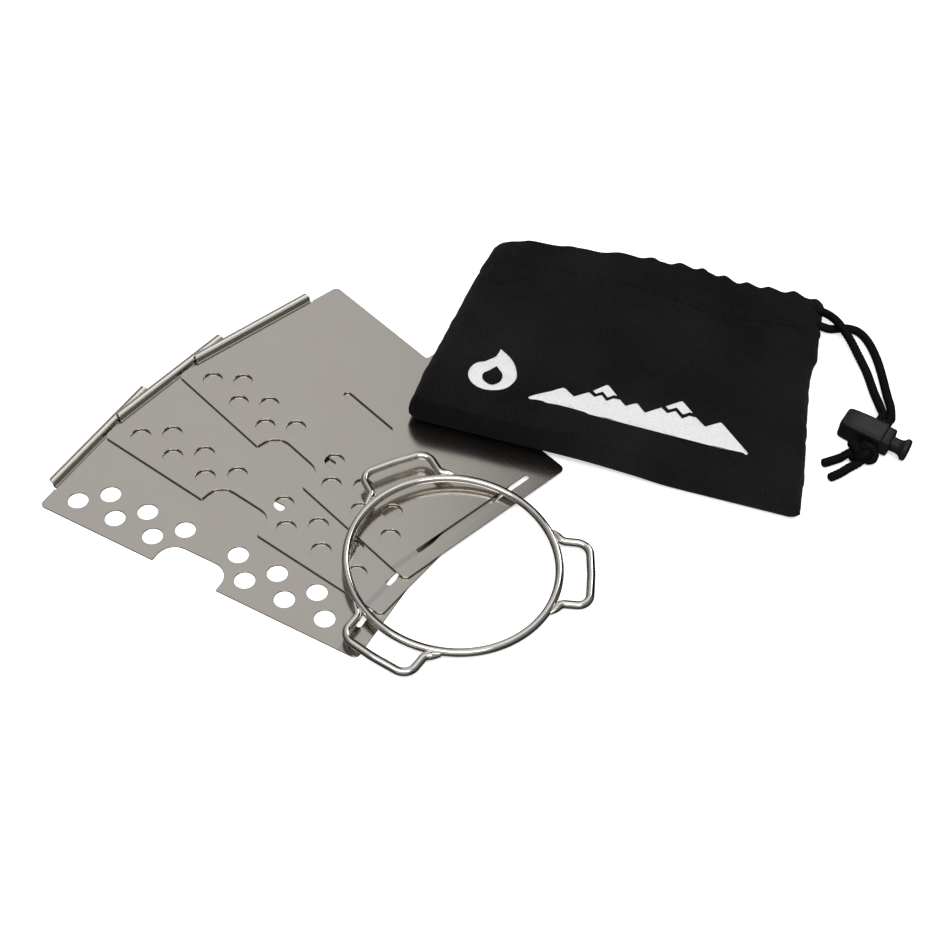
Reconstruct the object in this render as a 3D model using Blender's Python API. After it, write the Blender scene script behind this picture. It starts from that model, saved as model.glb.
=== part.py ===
# Flat-packed stand for a spirit burner: three interlocking stainless plates, a
# wire carrying ring with three ears, and a drawstring sack with a cord lock.
# All driving dimensions are millimetres, scaled to metres when a mesh is made.
import math

import bmesh
import bpy
from mathutils import Matrix, Vector
from mathutils.geometry import delaunay_2d_cdt

for stale in list(bpy.data.objects):
    bpy.data.objects.remove(stale, do_unlink=True)

MM = 0.001
GAP = 0.3  # air kept between separate pieces at rest

# plate, measured from the inner face of its folded hem and its bottom edge
SHEET = 0.6
LEFT, RIGHT, HIGH = 0.6, 134.8, 81.0
MIDDLE = 63.9  # centre line between the hem and the slot
CORNER = 2.2
TAB_WIDE, TAB_HIGH = 14.7, 8.0
ARCH_HALF, ARCH_HIGH, ARCH_ROUND = 13.4, 10.0, 6.7
HOLE, PITCH = 7.5, 16.5
LOW_ROW, HIGH_ROW = (11.2, 8.9), (19.5, 17.3)
SLIT_LONG, SLIT_WIDE, SLIT_V = 27.5, 3.2, 43.6
SLOT_U, SLOT_WIDE, SLOT_LOW, SLOT_TOP = 128.2, 2.1, 11.6, 67.8
HEM_LOW, HEM_TOP, HEM_HIGH, HEM_ROUND = 9.7, 67.0, 4.6, 1.5
BEND_U = 1.2

# where each plate lies: x, y of its hem corner, turn in degrees, underside height
PLATES = (
    ("plate_front", -157.5, -32.6, -24.5, 0.0),
    ("plate_middle", -141.7, 3.1, -32.8, SHEET + GAP),
    ("plate_rear", -119.9, 37.9, -43.1, 2 * (SHEET + GAP)),
)

# ring
WIRE, HOOP = 3.0, 38.2
EAR_WIDE, EAR_REACH, EAR_TURN, EAR_FOOT = 27.4, 11.3, 6.5, 4.6
RING_AT = (-5.1, -45.8)
RING_DOWN = -43.1  # compass direction in which the ring leans down
EAR_AT = 1.0

# sack
BAG = ((-24.8, 21.2), (120.1, -10.4), (140.8, 110.6), (1.5, 131.4))
CASING = 17.0
CASING_HIGH = 3.0
CORD = 3.2


def material(name, color, roughness, metallic):
    made = bpy.data.materials.new(name)
    made.use_nodes = True
    shader = made.node_tree.nodes["Principled BSDF"]
    shader.inputs["Base Color"].default_value = (*color, 1)
    shader.inputs["Roughness"].default_value = roughness
    shader.inputs["Metallic"].default_value = metallic
    return made


SHEET_STEEL = material("sheet_steel", (0.56, 0.54, 0.51), 0.3, 1.0)
WIRE_STEEL = material("wire_steel", (0.62, 0.61, 0.59), 0.15, 1.0)
BLACK_CLOTH = material("black_cloth", (0.02, 0.02, 0.022), 0.9, 0.0)
BLACK_CORD = material("black_cord", (0.018, 0.018, 0.018), 0.8, 0.0)
BLACK_PLASTIC = material("black_plastic", (0.02, 0.02, 0.02), 0.45, 0.0)
SPRING_STEEL = material("spring_steel", (0.6, 0.6, 0.6), 0.25, 1.0)


def frame(name, place, turn=0.0):
    """An empty that carries a group of pieces, turned about +Z."""
    empty = bpy.data.objects.new(name, None)
    empty.location = Vector(place) * MM
    empty.rotation_euler.z = math.radians(turn)
    bpy.context.collection.objects.link(empty)
    return empty


def put(name, data, look, parent=None):
    obj = bpy.data.objects.new(name, data)
    if look and not data.materials:
        data.materials.append(look)
    obj.parent = parent
    bpy.context.collection.objects.link(obj)
    return obj


def closed_mesh(name, verts, faces):
    """A closed mesh with its faces turned outward, its points in millimetres."""
    bm = bmesh.new()
    made = [bm.verts.new(Vector(v) * MM) for v in verts]
    for face in faces:
        bm.faces.new([made[i] for i in face])
    bmesh.ops.recalc_face_normals(bm, faces=bm.faces)
    if bm.calc_volume(signed=True) < 0:
        bmesh.ops.reverse_faces(bm, faces=bm.faces)
    mesh = bpy.data.meshes.new(name)
    bm.to_mesh(mesh)
    bm.free()
    mesh.shade_smooth()
    mesh.set_sharp_from_angle(angle=math.radians(35))
    return mesh


def bar(name, path, diameter, closed=False, sides=2):
    """Curve data for a round bar or cord along points in millimetres."""
    curve = bpy.data.curves.new(name, "CURVE")
    curve.dimensions = "3D"
    spline = curve.splines.new("POLY")
    spline.points.add(len(path) - 1)
    for point, p in zip(spline.points, path):
        point.co = (p[0] * MM, p[1] * MM, p[2] * MM, 1)
    spline.use_cyclic_u = closed
    curve.bevel_depth = diameter / 2 * MM
    curve.bevel_resolution = sides
    curve.use_fill_caps = True
    return curve


def arc(cx, cy, radius, start, end, steps):
    return [
        (
            cx + radius * math.cos(math.radians(start + (end - start) * i / steps)),
            cy + radius * math.sin(math.radians(start + (end - start) * i / steps)),
        )
        for i in range(steps + 1)
    ]


def rounded(corners, steps=4):
    """A closed outline from (u, v, radius) corners, each turned into an arc."""
    out = []
    n = len(corners)
    for i, (x, y, r) in enumerate(corners):
        here = Vector((x, y))
        back = Vector(corners[i - 1][:2]) - here
        on = Vector(corners[(i + 1) % n][:2]) - here
        if r <= 0:
            out.append((x, y))
            continue
        back.normalize()
        on.normalize()
        half = back.angle(on) / 2
        reach = r / math.tan(half)
        centre = here + (back + on).normalized() * (r / math.sin(half))
        a = here + back * reach - centre
        b = here + on * reach - centre
        start = math.atan2(a.y, a.x)
        sweep = math.atan2(b.y, b.x) - start
        while sweep > math.pi:
            sweep -= 2 * math.pi
        while sweep < -math.pi:
            sweep += 2 * math.pi
        for k in range(steps + 1):
            t = start + sweep * k / steps
            out.append((centre.x + r * math.cos(t), centre.y + r * math.sin(t)))
    return out


def plate_outline():
    tab = TAB_WIDE / 2
    relief = 0.8
    left = MIDDLE - ARCH_HALF
    right = MIDDLE + ARCH_HALF
    corners = [
        (LEFT, 0, CORNER),
        (left, 0, 0),
        (left, ARCH_HIGH, ARCH_ROUND),
        (right, ARCH_HIGH, ARCH_ROUND),
        (right, 0, 0),
        (RIGHT, 0, CORNER),
        (RIGHT, HIGH, CORNER),
        (MIDDLE + tab, HIGH, 1.0),
        (MIDDLE + tab, HIGH + TAB_HIGH, 2.0),
        (MIDDLE - tab, HIGH + TAB_HIGH, 2.0),
        (MIDDLE - tab, HIGH, 1.0),
        (LEFT, HIGH, CORNER),
        (LEFT, HEM_TOP + relief, 0),
        (BEND_U, HEM_TOP + relief, 0),
        (BEND_U, HEM_TOP, 0),
        (BEND_U, HEM_LOW, 0),
        (BEND_U, HEM_LOW - relief, 0),
        (LEFT, HEM_LOW - relief, 0),
    ]
    return rounded(corners)


def plate_holes():
    holes = []
    for u0, v in (LOW_ROW, HIGH_ROW):
        for k in range(3):
            for u in (u0 + k * PITCH, 2 * MIDDLE - u0 - k * PITCH):
                holes.append(arc(u, v, HOLE / 2, 0, 360, 20)[:-1])
    r = SLOT_WIDE / 2
    holes.append(
        arc(SLOT_U, SLOT_TOP - r, r, 0, 180, 6)
        + arc(SLOT_U, SLOT_LOW + r, r, 180, 360, 6)
    )
    half = (SLIT_LONG - SLIT_WIDE) / 2
    r = SLIT_WIDE / 2
    holes.append(
        arc(MIDDLE + half, SLIT_V, r, -90, 90, 6)
        + arc(MIDDLE - half, SLIT_V, r, 90, 270, 6)
    )
    return holes


def hem_profile():
    """Mid-line of the folded hem as (u, height), from the flat sheet upward."""
    line = [(BEND_U, SHEET / 2)]
    r = 0.9
    cx, cz = 0.5, SHEET / 2 + r
    line += [
        (
            cx + r * math.cos(math.radians(a)),
            cz + r * math.sin(math.radians(a)),
        )
        for a in (-90, -112, -135, -158, -180)
    ]
    line += [(-0.41, 1.7), (-0.47, 2.0), (-0.64, 2.35), (-0.67, 2.6)]
    for k in range(6):
        h = HEM_HIGH - HEM_ROUND * (1 - math.sin(math.radians(18 * k)))
        line.append((-0.67, h))
    return line


def offset(line, side):
    out = []
    for i, p in enumerate(line):
        a = Vector(line[max(i - 1, 0)])
        b = Vector(line[min(i + 1, len(line) - 1)])
        d = (b - a).normalized()
        out.append((p[0] - d.y * side, p[1] + d.x * side))
    return out


def plate_mesh():
    """Flat sheet with its holes and slots, and the hem folded up along its left edge."""
    outline = plate_outline()
    loops = [outline] + plate_holes()
    points, edges, kept = [], [], []
    for loop in loops:
        first = len(points)
        points += [Vector(p) for p in loop]
        n = len(loop)
        edges += [(first + i, first + (i + 1) % n) for i in range(n)]
    flat, _, tris, _, _, _ = delaunay_2d_cdt(points, edges, [], 0, 1e-6)

    def inside(p, loop):
        hit = False
        for i in range(len(loop)):
            (ax, ay), (bx, by) = loop[i - 1], loop[i]
            if (ay > p[1]) != (by > p[1]):
                if p[0] < (bx - ax) * (p[1] - ay) / (by - ay) + ax:
                    hit = not hit
        return hit

    for tri in tris:
        c = sum((flat[i] for i in tri), Vector((0, 0))) / 3
        if inside(c, outline) and not any(inside(c, h) for h in loops[1:]):
            kept.append(tri)
    n = len(flat)
    verts = [(p.x, p.y, SHEET) for p in flat] + [(p.x, p.y, 0.0) for p in flat]
    faces = [tuple(t) for t in kept] + [tuple(n + i for i in reversed(t)) for t in kept]

    use = {}
    for t in kept:
        for a, b in ((t[0], t[1]), (t[1], t[2]), (t[2], t[0])):
            use.setdefault((min(a, b), max(a, b)), []).append((a, b))
    for ends in use.values():
        if len(ends) != 1:
            continue
        a, b = ends[0]
        pa, pb = flat[a], flat[b]
        if all(
            abs(p.x - BEND_U) < 1e-4 and HEM_LOW - 1e-4 < p.y < HEM_TOP + 1e-4
            for p in (pa, pb)
        ):
            hem_ends = (a, b) if pa.y < pb.y else (b, a)
            continue
        faces.append((a, n + a, n + b, b))

    line = hem_profile()
    inner = offset(line, -SHEET / 2)
    outer = offset(line, SHEET / 2)
    inner[0], outer[0] = (BEND_U, SHEET), (BEND_U, 0.0)
    low = high = None
    for k, ((_, h), a, b) in enumerate(zip(line, inner, outer)):
        if k == 0:
            low = (hem_ends[0], n + hem_ends[0])
            high = (hem_ends[1], n + hem_ends[1])
            continue
        over = max(0.0, h - (HEM_HIGH - HEM_ROUND))
        cut = HEM_ROUND - math.sqrt(max(0.0, HEM_ROUND**2 - over**2))
        first = len(verts)
        verts += [
            (a[0], HEM_LOW + cut, a[1]),
            (b[0], HEM_LOW + cut, b[1]),
            (a[0], HEM_TOP - cut, a[1]),
            (b[0], HEM_TOP - cut, b[1]),
        ]
        new_low, new_high = (first, first + 1), (first + 2, first + 3)
        faces.append((low[0], new_low[0], new_high[0], high[0]))
        faces.append((low[1], high[1], new_high[1], new_low[1]))
        faces.append((low[0], low[1], new_low[1], new_low[0]))
        faces.append((high[0], new_high[0], new_high[1], high[1]))
        low, high = new_low, new_high
    faces.append((low[0], low[1], high[1], high[0]))

    return closed_mesh("plate", verts, faces)


shared_plate = plate_mesh()
for name, x, y, turn, z in PLATES:
    plate = put(name, shared_plate, SHEET_STEEL)
    plate.location = Vector((x, y, z)) * MM
    plate.rotation_euler.z = math.radians(turn)

# The ring leans: one side lies over the edge of the rear plate, the other on the table.
RING_TILT, RING_HIGH = 3.4, 4.05
ring_frame = frame("ring_frame", (*RING_AT, RING_HIGH))
lean = Matrix.Rotation(math.radians(RING_DOWN), 4, "Z")
tilt = Matrix.Rotation(math.radians(RING_TILT), 4, "Y")
ring_frame.rotation_euler = (lean @ tilt @ lean.inverted()).to_euler()

circle = [(HOOP * math.cos(a), HOOP * math.sin(a), 0) for a in (math.tau * k / 80 for k in range(80))]
put("ring_hoop", bar("hoop", circle, WIRE, closed=True, sides=3), WIRE_STEEL, ring_frame)


def ear_path():
    """Omega-shaped loop, centre line, reaching along +x from the hoop."""
    half = EAR_WIDE / 2
    beside = HOOP + WIRE + GAP
    out = HOOP + EAR_REACH
    turn = math.asin((half + 1.6) / beside)
    foot = [
        (beside * math.cos(t), beside * math.sin(t))
        for t in (turn + EAR_FOOT / beside * (1 - k / 3) for k in range(4))
    ]
    knee = (beside * math.cos(turn) + 1.2, half + 0.1, 2.4)
    loop = rounded(
        [
            (foot[-1][0], foot[-1][1], 0),
            knee,
            (out, half, EAR_TURN),
            (out, -half, EAR_TURN),
            (knee[0], -knee[1], knee[2]),
            (foot[-1][0], -foot[-1][1], 0),
        ],
        steps=5,
    )
    path = foot[:-1] + loop + [(x, -y) for x, y in reversed(foot[:-1])]
    return [(x, y, 0) for x, y in path]


ear = bar("ear", ear_path(), WIRE, sides=3)
for i in range(3):
    piece = put("ring_ear_%d" % (i + 1), ear, WIRE_STEEL, ring_frame)
    piece.rotation_euler.z = math.radians(EAR_AT + 120 * i)

# ------------------------------------------------------------------ the sack
FRONT_LEFT, FRONT_RIGHT, MOUTH_RIGHT, MOUTH_LEFT = [Vector(p) for p in BAG]
DEEP = (MOUTH_LEFT - FRONT_LEFT).length
WIDE = (FRONT_RIGHT - FRONT_LEFT).length


def ground_of(s, t):
    """Point of the sack's plan; s runs along the front, t from front to mouth."""
    front = FRONT_LEFT.lerp(FRONT_RIGHT, s)
    mouth = MOUTH_LEFT.lerp(MOUTH_RIGHT, s)
    p = front.lerp(mouth, t)
    belly = math.sin(math.pi * min(1.0, max(0.0, t)) ** 0.75)
    across = (FRONT_RIGHT - FRONT_LEFT).normalized()
    return p - across * (4.0 * belly * (1 - s)) + across * (0.8 * belly * s)


def rest_height(p):
    """Height of what lies under the sack: plate stack at left, table at right."""
    _, x, y, turn, z = PLATES[2]
    c, s = math.cos(math.radians(turn)), math.sin(math.radians(turn))
    u = (p.x - x) * c + (p.y - y) * s
    v = -(p.x - x) * s + (p.y - y) * c
    over = max(u - RIGHT, v - HIGH - TAB_HIGH, 0.0)
    drop = min(1.0, max(0.0, (over - 2.0) / 28.0))
    drop = drop * drop * (3 - 2 * drop)
    return (z + SHEET + GAP) * (1 - drop) + 0.1 * drop


def body_slab(name, t1, nu=22, nv=16):
    """Soft filled body: rounded rims, thick along the front, thin at the mouth."""
    verts, faces, grid = [], [], {}
    for side in (1, -1):
        for j in range(nv + 1):
            for i in range(nu + 1):
                rim = i in (0, nu) or j in (0, nv)
                if side < 0 and rim:
                    grid[side, i, j] = grid[1, i, j]
                    continue
                s = 0.5 - 0.5 * math.cos(math.pi * i / nu)
                q = 0.5 - 0.5 * math.cos(math.pi * j / nv)
                p = ground_of(s, t1 * q)
                high = 11.4 + (7.0 - 11.4) * q + 1.2 * math.sin(math.pi * q) - 1.2 * s
                near = min(s * WIDE, (1 - s) * WIDE, q * DEEP, (1 - q) * t1 * DEEP * 2)
                x = min(1.0, near / (high / 2))
                bulge = math.sqrt(max(0.0, 1 - (1 - x) ** 2))
                z = rest_height(p) + high / 2 + side * high / 2 * bulge
                grid[side, i, j] = len(verts)
                verts.append((p.x, p.y, z))
        for j in range(nv):
            for i in range(nu):
                face = [grid[side, i + a, j + b] for a, b in ((0, 0), (1, 0), (1, 1), (0, 1))]
                faces.append(face[::side])
    return put(name, closed_mesh(name, verts, faces), BLACK_CLOTH)


SEAM = 1 - CASING / DEEP
body_slab("sack_body", SEAM)


def casing_half(s):
    """Half the casing's height, most along its middle where the cloth gathers."""
    return CASING_HIGH + 1.1 * math.sin(math.pi * min(1.0, max(0.0, s))) * (1.3 - 0.6 * s)


def casing_point(s, across, up):
    t = 1 - (CASING / 2 - across) / DEEP
    p = ground_of(s, t)
    return (p.x, p.y, rest_height(p) + casing_half(s) + 0.1 + up)


def casing(name, around=14, along=20):
    """Hem folded over the drawcord: a flat tube, shut at its left end."""
    verts, faces = [], []

    def loop(s, half, high, shift=0.0):
        ring = []
        for k in range(around):
            a = 2 * math.pi * k / around
            x, y = math.cos(a), math.sin(a)
            x = math.copysign(abs(x) ** 0.6, x) * half
            y = math.copysign(abs(y) ** 0.7, y) * high
            ring.append(len(verts))
            verts.append(casing_point(s, x + shift, y))
        return ring

    outer_at = [0.015 + 0.97 * k / along for k in range(along + 1)]
    inner_at = [0.04 + 0.945 * k / along for k in range(along + 1)]
    outer = [loop(s, CASING / 2 - GAP, casing_half(s)) for s in outer_at]
    inner = [loop(s, 5.2, casing_half(s) - 0.9) for s in inner_at]
    for rows in (outer, inner):
        for a, b in zip(rows, rows[1:]):
            for k in range(around):
                m = (k + 1) % around
                face = (a[k], a[m], b[m], b[k])
                faces.append(face if rows is outer else face[::-1])
    for k in range(around):
        m = (k + 1) % around
        faces.append((outer[-1][k], outer[-1][m], inner[-1][m], inner[-1][k]))
    faces.append(tuple(outer[0][::-1]))
    faces.append(tuple(inner[0]))
    return put(name, closed_mesh(name, verts, faces), BLACK_CLOTH)


casing("sack_casing")

# ------------------------------------------------------------------ the cord
LOCK_AT = Vector((154.2, 33.9))
LOCK_TURN = math.radians(-29.0)
ALONG = Vector((math.cos(LOCK_TURN), math.sin(LOCK_TURN)))
THROUGH = Vector((-ALONG.y, ALONG.x))
LOCK_UP = 4.6


def at_lock(x, y, z=0.0):
    p = LOCK_AT + ALONG * x + THROUGH * y
    return (p.x, p.y, LOCK_UP + z)


def smooth(points, count):
    """Catmull-Rom curve through the points, evenly stepped."""
    pts = [Vector(p) for p in points]
    pts = [pts[0] * 2 - pts[1]] + pts + [pts[-1] * 2 - pts[-2]]
    fine = []
    for i in range(1, len(pts) - 2):
        a, b, c, d = pts[i - 1 : i + 3]
        for k in range(12):
            t = k / 12
            fine.append(
                0.5
                * (
                    2 * b
                    + (c - a) * t
                    + (2 * a - 5 * b + 4 * c - d) * t * t
                    + (3 * b - a - 3 * c + d) * t**3
                )
            )
    fine.append(pts[-2])
    run = [0.0]
    for a, b in zip(fine, fine[1:]):
        run.append(run[-1] + (b - a).length)
    out, j = [], 0
    for k in range(count):
        want = run[-1] * k / (count - 1)
        while j < len(run) - 2 and run[j + 1] < want:
            j += 1
        step = (want - run[j]) / (run[j + 1] - run[j])
        out.append(fine[j].lerp(fine[j + 1], min(1.0, step)))
    return out


def cord(name, points, count):
    return put(name, bar(name, smooth(points, count), CORD), BLACK_CORD)


RUN = 2.7  # half the spacing of the two runs of cord inside the casing
STEPS = [0.97 - 0.085 * k for k in range(11)]
inside = [casing_point(s, RUN, 0) for s in STEPS]
inside += [casing_point(0.097, RUN, 0)]
inside += [casing_point(0.083, 1.9, 0), casing_point(0.076, 0, 0), casing_point(0.083, -1.9, 0)]
inside += [casing_point(0.097, -RUN, 0)]
inside += [casing_point(s, -RUN, 0) for s in reversed(STEPS)]
cord("drawcord_in_casing", inside, 44)

TABLE = CORD / 2 + 0.1
KNOT_BACK = -10.5
KNOT_SIZE = 4.1
BESIDE = 1.68  # half the spacing of the two strands in the lock
STRAND_END = KNOT_BACK + KNOT_SIZE + 0.3
# The strand from the far run of the casing humps over the other one, then they lie side by side.
cord(
    "drawcord_strand_inner",
    [
        casing_point(0.973, RUN, 0),
        (141.6, 104.4, 3.6),
        (144.4, 100.2, 4.7),
        (146.7, 95.4, 5.2),
        (150.0, 88.6, 4.3),
        (153.0, 81.8, 2.5),
        (155.6, 73.4, TABLE),
        (157.4, 62.4, TABLE),
        (158.6, 53.4, 2.6),
        at_lock(-BESIDE, 13.5, -0.2),
        at_lock(-BESIDE, 11.0),
        at_lock(-BESIDE, 5.0),
        at_lock(-BESIDE, STRAND_END),
    ],
    34,
)
cord(
    "drawcord_strand_outer",
    [
        casing_point(0.973, -RUN, 0),
        (142.3, 96.5, 2.2),
        (146.2, 97.0, TABLE),
        (150.8, 97.3, TABLE),
        (154.8, 95.4, TABLE),
        (158.3, 89.4, TABLE),
        (161.3, 79.4, TABLE),
        (163.1, 67.9, TABLE),
        (163.6, 58.0, 2.4),
        (162.4, 51.0, 3.8),
        at_lock(BESIDE, 13.5, -0.2),
        at_lock(BESIDE, 11.0),
        at_lock(BESIDE, 5.0),
        at_lock(BESIDE, STRAND_END),
    ],
    36,
)


def knot(name):
    """Overhand knot drawn tight: a bead with two raised turns."""
    nu, nv = 18, 11
    verts, faces = [], []
    centre = Vector(at_lock(-0.8, KNOT_BACK, -0.3))
    for j in range(1, nv):
        phi = math.pi * j / nv
        for i in range(nu):
            th = 2 * math.pi * i / nu
            ridge = 0.32 * math.cos(2 * th + 5 * phi) * math.sin(phi)
            r = KNOT_SIZE + ridge - 0.35
            x, y, z = math.sin(phi) * math.cos(th), math.cos(phi), math.sin(phi) * math.sin(th)
            p = Vector((ALONG.x, ALONG.y, 0)) * x * r * 1.35
            p += Vector((THROUGH.x, THROUGH.y, 0)) * y * r + Vector((0, 0, 1)) * z * r
            verts.append(centre + p)
    top, low = len(verts), len(verts) + 1
    reach = Vector((THROUGH.x, THROUGH.y, 0)) * (KNOT_SIZE - 0.35)
    verts += [centre + reach, centre - reach]
    for j in range(nv - 2):
        for i in range(nu):
            m = (i + 1) % nu
            faces.append((j * nu + i, j * nu + m, (j + 1) * nu + m, (j + 1) * nu + i))
    for i in range(nu):
        m = (i + 1) % nu
        faces.append((top, m, i))
        faces.append((low, (nv - 2) * nu + i, (nv - 2) * nu + m))
    return put(name, closed_mesh(name, verts, faces), BLACK_CORD)


knot("drawcord_knot")
cord(
    "drawcord_tail_long",
    [
        at_lock(-7.0, KNOT_BACK - 4.3, -2.2),
        at_lock(-8.6, KNOT_BACK - 5.4, TABLE - LOCK_UP),
        (136.6, 21.2, TABLE),
        (132.6, 19.3, TABLE),
    ],
    9,
)
cord(
    "drawcord_tail_short",
    [
        at_lock(-0.6, KNOT_BACK - 6.3, -2.4),
        at_lock(-1.8, KNOT_BACK - 8.0, TABLE - LOCK_UP),
        (139.4, 15.0, TABLE),
        (134.8, 11.9, TABLE),
    ],
    9,
)

# ------------------------------------------------------------------ the cord lock
LOCK_BACK, LOCK_FRONT, LOCK_WIDE, LOCK_TALL = -13.6, 7.0, 11.2, 9.0
BORE, STEM = 3.3, 2.95
HOLE_X, HOLE_Z = 3.5, 1.85
TRAVEL = 3.5
lock_frame = frame("lock_frame", (*LOCK_AT, LOCK_UP), math.degrees(LOCK_TURN))


def revolve(name, profile, look=None, around=20):
    """Solid turned about the lock's long axis from (x, radius) pairs."""
    verts, faces, rings = [], [], []
    for x, r in profile:
        rings.append(len(verts))
        for k in range(around):
            a = 2 * math.pi * k / around
            verts.append((x, r * math.cos(a), r * math.sin(a)))
    for a, b in zip(rings, rings[1:]):
        for k in range(around):
            m = (k + 1) % around
            faces.append((a + k, a + m, b + m, b + k))
    faces.append(tuple(range(rings[0], rings[0] + around)))
    faces.append(tuple(range(rings[-1], rings[-1] + around)))
    return put(name, closed_mesh(name, verts, faces), look, lock_frame)


def block(name, stations, look, power=0.55, around=24):
    """Pebble-shaped block along the lock's long axis from (x, width, height) stations."""
    verts, faces, rings = [], [], []
    for x, wide, tall in stations:
        rings.append(len(verts))
        for k in range(around):
            a = 2 * math.pi * k / around
            y = math.copysign(abs(math.cos(a)) ** power, math.cos(a)) * wide / 2
            z = math.copysign(abs(math.sin(a)) ** power, math.sin(a)) * tall / 2
            verts.append((x, y, z))
    for a, b in zip(rings, rings[1:]):
        for k in range(around):
            m = (k + 1) % around
            faces.append((a + k, a + m, b + m, b + k))
    faces.append(tuple(range(rings[0], rings[0] + around)))
    faces.append(tuple(range(rings[-1], rings[-1] + around)))
    return put(name, closed_mesh(name, verts, faces), look, lock_frame)


def bar_across(name, x0, x1, half_z, half_y):
    """Straight cutter with rounded ends in section, running across the lock."""
    section = rounded(
        [(x0, -half_z, 1.0), (x1, -half_z, 1.0), (x1, half_z, 1.0), (x0, half_z, 1.0)], 4
    )
    n = len(section)
    verts = [(x, y, z) for y in (-half_y, half_y) for x, z in section]
    faces = [(i, (i + 1) % n, n + (i + 1) % n, n + i) for i in range(n)]
    faces += [tuple(range(n)), tuple(range(n, 2 * n))]
    return put(name, closed_mesh(name, verts, faces), None, lock_frame)


def cut(target, cutter):
    cutter.hide_render = True
    cutter.display_type = "WIRE"
    modifier = target.modifiers.new("cut_" + cutter.name, "BOOLEAN")
    modifier.operation = "DIFFERENCE"
    modifier.solver = "EXACT"
    modifier.object = cutter


lock_body = block(
    "lock_body",
    [
        (LOCK_BACK, 6.4, 5.0),
        (LOCK_BACK + 0.5, 8.0, 6.6),
        (LOCK_BACK + 1.5, 9.6, 7.9),
        (LOCK_BACK + 3.2, 10.6, 8.7),
        (LOCK_BACK + 6.5, LOCK_WIDE, LOCK_TALL),
        (LOCK_FRONT - 4.0, LOCK_WIDE, LOCK_TALL),
        (LOCK_FRONT - 0.9, 10.8, 8.8),
        (LOCK_FRONT - 0.3, 10.2, 8.4),
        (LOCK_FRONT, 9.4, 7.8),
    ],
    BLACK_PLASTIC,
)
cut(lock_body, revolve("cut_bore", [(-11.8, BORE), (LOCK_FRONT + 2, BORE)]))
cut(lock_body, bar_across("cut_body_hole", -HOLE_X, HOLE_X, HOLE_Z, 9.0))

plunger = revolve(
    "lock_plunger",
    [
        (-5.2, STEM - 0.4),
        (-4.8, STEM),
        (LOCK_FRONT + 3.6, STEM),
        (LOCK_FRONT + 3.9, 3.5),
        (LOCK_FRONT + 4.5, 4.2),
        (LOCK_FRONT + 6.2, 4.4),
        (LOCK_FRONT + 6.8, 4.1),
        (LOCK_FRONT + 7.0, 3.6),
    ],
    BLACK_PLASTIC,
)
cut(plunger, bar_across("cut_plunger_hole", -HOLE_X + 0.1, HOLE_X + TRAVEL, HOLE_Z, 5.0))

turns, steps = 5, 60
coil = []
for k in range(steps + 1):
    a = math.tau * turns * k / steps
    coil.append((-11.2 + 5.4 * k / steps, 2.2 * math.cos(a), 2.2 * math.sin(a)))
put("lock_spring", bar("spring", coil, 0.56, sides=1), SPRING_STEEL, lock_frame)

# Origin at the middle of the footprint, on the table; the free cord and its lock don't count.
FREE = ("drawcord_strand", "drawcord_knot", "drawcord_tail", "lock_")
bpy.context.view_layer.update()
low = Vector((1e9, 1e9, 1e9))
high = -low
for obj in bpy.data.objects:
    if obj.type == "EMPTY" or obj.name.startswith(FREE + ("cut_",)):
        continue
    deps = bpy.context.evaluated_depsgraph_get()
    solid = obj.evaluated_get(deps)
    mesh = solid.to_mesh()
    for vertex in mesh.vertices:
        p = obj.matrix_world @ vertex.co
        low = Vector(map(min, low, p))
        high = Vector(map(max, high, p))
    solid.to_mesh_clear()
shift = Vector((-(low.x + high.x) / 2, -(low.y + high.y) / 2, -low.z))
for obj in bpy.data.objects:
    if obj.parent is None:
        obj.location = obj.location + shift
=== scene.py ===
"""Looks of a flat-packed spirit burner stand: three folded steel plates, a wire ring and a drawstring sack.

Lengths are millimetres on the layout grid of the CAD part, whose zero the camera looks at. at() turns them
into metres in the row frame.
"""
import math

import bmesh
import bpy
import numpy as np
from mathutils import Matrix, Vector, noise
from mathutils.bvhtree import BVHTree
from mathutils.geometry import delaunay_2d_cdt


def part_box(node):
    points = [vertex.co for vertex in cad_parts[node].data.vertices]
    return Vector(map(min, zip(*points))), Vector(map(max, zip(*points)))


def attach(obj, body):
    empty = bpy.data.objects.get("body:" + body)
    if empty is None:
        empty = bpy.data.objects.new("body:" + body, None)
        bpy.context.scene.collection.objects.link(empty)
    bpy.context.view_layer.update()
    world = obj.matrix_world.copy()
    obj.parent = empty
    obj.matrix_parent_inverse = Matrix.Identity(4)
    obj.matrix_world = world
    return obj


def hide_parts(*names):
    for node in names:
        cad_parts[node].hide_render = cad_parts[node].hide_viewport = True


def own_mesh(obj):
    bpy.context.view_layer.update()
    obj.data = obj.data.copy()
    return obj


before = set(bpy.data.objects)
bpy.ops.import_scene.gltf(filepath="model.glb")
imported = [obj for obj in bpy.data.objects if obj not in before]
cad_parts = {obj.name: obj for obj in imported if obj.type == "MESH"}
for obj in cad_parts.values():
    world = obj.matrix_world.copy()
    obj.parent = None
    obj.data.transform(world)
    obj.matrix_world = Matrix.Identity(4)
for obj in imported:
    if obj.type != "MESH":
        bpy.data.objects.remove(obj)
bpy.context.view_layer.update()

MM = 0.001

# camera
LENS, ELEVATION, DISTANCE, ROLL = 58.8, 48.12, 586.3, 4.8

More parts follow.
